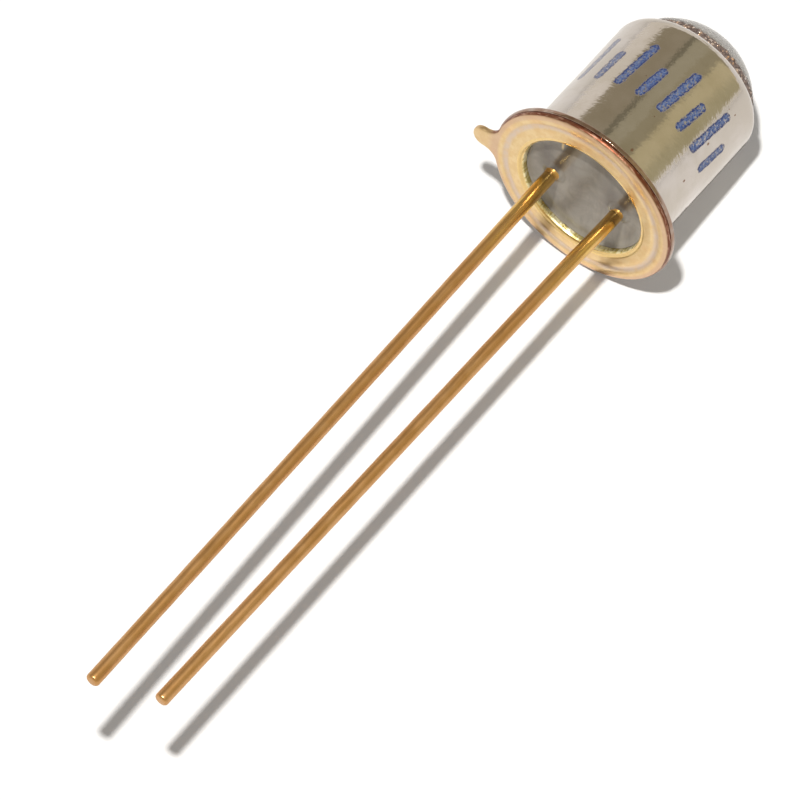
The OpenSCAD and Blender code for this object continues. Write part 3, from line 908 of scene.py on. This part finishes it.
def frit_piece():
    """The crumbly ring of sealing glass, lumpy and pitted all round."""
    bm = bmesh.new()
    middle_r = WINDOW_R + SEAL_W * 0.45
    profile = [
        (WINDOW_R, CAN_H), (WINDOW_R + SEAL_W, CAN_H), (WINDOW_R + SEAL_W, CAN_H + SEAL_H * 0.15),
        (WINDOW_R + SEAL_W, CAN_H + SEAL_H * 0.3), (WINDOW_R + SEAL_W * 0.93, CAN_H + SEAL_H * 0.45),
        (WINDOW_R + SEAL_W * 0.8, CAN_H + SEAL_H * 0.6), (WINDOW_R + SEAL_W * 0.66, CAN_H + SEAL_H * 0.76),
        (WINDOW_R + SEAL_W * 0.46, CAN_H + SEAL_H * 0.9), (WINDOW_R + SEAL_W * 0.2, CAN_H + SEAL_H),
        (WINDOW_R, CAN_H + SEAL_H), (WINDOW_R, CAN_H + SEAL_H * 0.5),
    ]
    turned(bm, profile, steps=900, closed=True)
    for vertex in bm.verts:
        outward = Vector((vertex.co.x, vertex.co.y, 0)).normalized()
        co = vertex.co.copy()
        lump = noise.noise(co / 0.16) * 0.05 + noise.noise(co / 0.06 + Vector((9, 9, 9))) * 0.03
        away = max(0.0, math.hypot(co.x, co.y) - middle_r + 0.05) / SEAL_W
        # The ring is thinner on the side of the tab
        thin = 1 - 0.35 * max(0.0, outward.y)
        if co.z > CAN_H + 0.01:
            vertex.co.z = CAN_H + (co.z - CAN_H) * thin
            vertex.co += outward * lump * min(1.0, away + 0.2) * 0.8
            vertex.co.z += noise.noise(co / 0.2 + Vector((3, 5, 7))) * 0.06 * (co.z - CAN_H) / SEAL_H
    return finished(bm, "sealing_frit", frit(), ["lens_seal"], 60.0)


header_piece()
glass_piece()
glass_beads()
lead_piece(
    "emitter_wire", "emitter_lead", "emitter_gold", POST_TOP, 1,
    [POST_TOP + FIRST_BEND, EMITTER_KINK - FIRST_BEND, EMITTER_LENGTH - EMITTER_KINK],
    EMITTER_BENDS, 3.0,
)
lead_piece(
    "collector_wire", "collector_lead", "collector_gold", GLASS_TOP, -1,
    [GLASS_TOP + FIRST_BEND, COLLECTOR_KINK - FIRST_BEND, COLLECTOR_LENGTH - COLLECTOR_KINK],
    COLLECTOR_BENDS, 8.0,
)
can_piece()
lens_piece()
frit_piece()

# The chip, its solder and the bond wire keep their solids
for node, material in (
    ("phototransistor_chip", silicon()),
    ("die_attach", soft_metal("solder", (0.62, 0.50, 0.28), (0.74, 0.62, 0.38), 0.3)),
    ("bond_wire", soft_metal("bond_gold", (0.86, 0.60, 0.22), (0.92, 0.70, 0.32), 0.15)),
):
    mesh_object = frame["nodes"][node]
    mesh_object.data.materials.clear()
    mesh_object.data.materials.append(material)


# Floor, light and camera

# Brightness of a white surface that faces the key light
KEY_LEVEL = 0.88


def floor_material():
    """White paper that keeps the object's shadow and shows as white to the camera."""
    material = bpy.data.materials.new("floor_paper")
    material.use_nodes = True
    t = Tree(material.node_tree)
    paper = t.node("ShaderNodeBsdfDiffuse")
    place = t.node("ShaderNodeTexCoord").outputs["Object"]
    tooth = t.noise(place, 900.0, 2.0)
    t.link(t.blend(t.span(tooth, 0.3, 0.7), (0.93, 0.93, 0.93), (0.95, 0.95, 0.95)), paper.inputs["Color"])
    glow = t.node("ShaderNodeEmission")
    glow.inputs["Strength"].default_value = 0.115
    seen = t.node("ShaderNodeLightPath").outputs["Is Camera Ray"]
    lit = t.node("ShaderNodeMixShader")
    both = t.node("ShaderNodeAddShader")
    t.link(paper.outputs[0], both.inputs[0])
    t.link(glow.outputs[0], both.inputs[1])
    t.link(seen, lit.inputs["Fac"])
    t.link(paper.outputs[0], lit.inputs[1])
    t.link(both.outputs[0], lit.inputs[2])
    # Beyond the near light's reach the floor glows by itself, as an evenly lit sweep would
    far = t.node("ShaderNodeEmission")
    t.link(t.span(t.vector("LENGTH", place), 0.06, 0.5, 0.0, 0.86), far.inputs["Strength"])
    whole = t.node("ShaderNodeAddShader")
    t.link(lit.outputs[0], whole.inputs[0])
    t.link(far.outputs[0], whole.inputs[1])
    t.link(whole.outputs[0], t.node("ShaderNodeOutputMaterial").inputs["Surface"])
    return material


def floor_piece():
    half = 2.0
    mesh = bpy.data.meshes.new("floor")
    mesh.from_pydata([(-half, -half, 0), (half, -half, 0), (half, half, 0), (-half, half, 0)], [], [(0, 1, 2, 3)])
    mesh.materials.append(floor_material())
    floor = bpy.data.objects.new("floor", mesh)
    bpy.context.scene.collection.objects.link(floor)


# Tones of the room that the metal mirrors: where one starts and is full along row Y, and its colour
ROOM = [
    (0.27, 0.22, (0.22, 0.20, 0.14)),
    (0.16, 0.11, (0.43, 0.395, 0.28)),
    (-0.12, -0.2, (0.375, 0.335, 0.22)),
    (-0.4, -0.5, (0.62, 0.55, 0.34)),
    (-0.66, -0.8, (0.50, 0.455, 0.285)),
]


def world():
    """White to the camera and through glass. Metal sees a white sweep low down and a warm room above."""
    made = bpy.data.worlds.new("studio")
    made.use_nodes = True
    bpy.context.scene.world = made
    t = Tree(made.node_tree)
    direction = t.node("ShaderNodeTexCoord").outputs["Generated"]
    split = t.node("ShaderNodeSeparateXYZ")
    t.link(direction, split.inputs[0])
    x, y, z = split.outputs
    # What polished metal mirrors, from +Y to -Y
    room = (0.37, 0.325, 0.235)
    for start, end, tone in ROOM:
        room = t.blend(t.span(y, start, end), room, tone)
    edge = t.span(y, -0.9, 0.75, 0.06, 0.38)
    low = t.span(t.math("SUBTRACT", z, edge), -0.015, 0.015, 1.0, 0.0)
    room = t.blend(low, room, (0.90, 0.86, 0.79))
    path = t.node("ShaderNodeLightPath")
    seen = t.math("MAXIMUM", path.outputs["Is Camera Ray"], path.outputs["Is Transmission Ray"])
    colour = t.blend(path.outputs["Is Glossy Ray"], (0.19, 0.18, 0.165), room)
    colour = t.blend(seen, colour, (1.0, 1.0, 1.0))
    background = t.node("ShaderNodeBackground")
    t.link(colour, background.inputs["Color"])
    t.link(background.outputs[0], t.node("ShaderNodeOutputWorld").inputs["Surface"])


def key_light():
    """A small soft light, high up and a little to the camera's side, near enough that shadows spread."""
    at = Vector((-41.0, -16.5, 244.8)) * MM
    aim = Vector((0.0, 0.0, 0.0))
    distance = (aim - at).length
    lamp = bpy.data.lights.new("key", "AREA")
    lamp.shape = "DISK"
    lamp.size = 0.0135
    lamp.energy = KEY_LEVEL * math.pi ** 2 * distance ** 2
    lamp.color = (1.0, 0.985, 0.96)
    light = bpy.data.objects.new("key", lamp)
    light.location = at
    light.rotation_mode = "QUATERNION"
    light.rotation_quaternion = (aim - at).to_track_quat("-Z", "Y")
    bpy.context.scene.collection.objects.link(light)


def camera():
    """The photograph's view: from above the leads' side, with a long lens."""
    data = bpy.data.cameras.new("camera")
    data.sensor_width = 36.0
    data.lens = 360.0
    data.clip_start = 0.01
    place = bpy.data.objects.new("camera", data)
    at = Vector((-88.43, -71.84, 211.51)) * MM
    aim = Vector((-1.154, 0.024, 3.0)) * MM
    roll = math.radians(-3.39)
    place.location = at
    place.rotation_mode = "QUATERNION"
    place.rotation_quaternion = (aim - at).to_track_quat("-Z", "Y") @ Matrix.Rotation(roll, 3, "Z").to_quaternion()
    bpy.context.scene.collection.objects.link(place)
    bpy.context.scene.camera = place


floor_piece()
world()
key_light()
camera()
bpy.context.scene.view_settings.view_transform = "Standard"
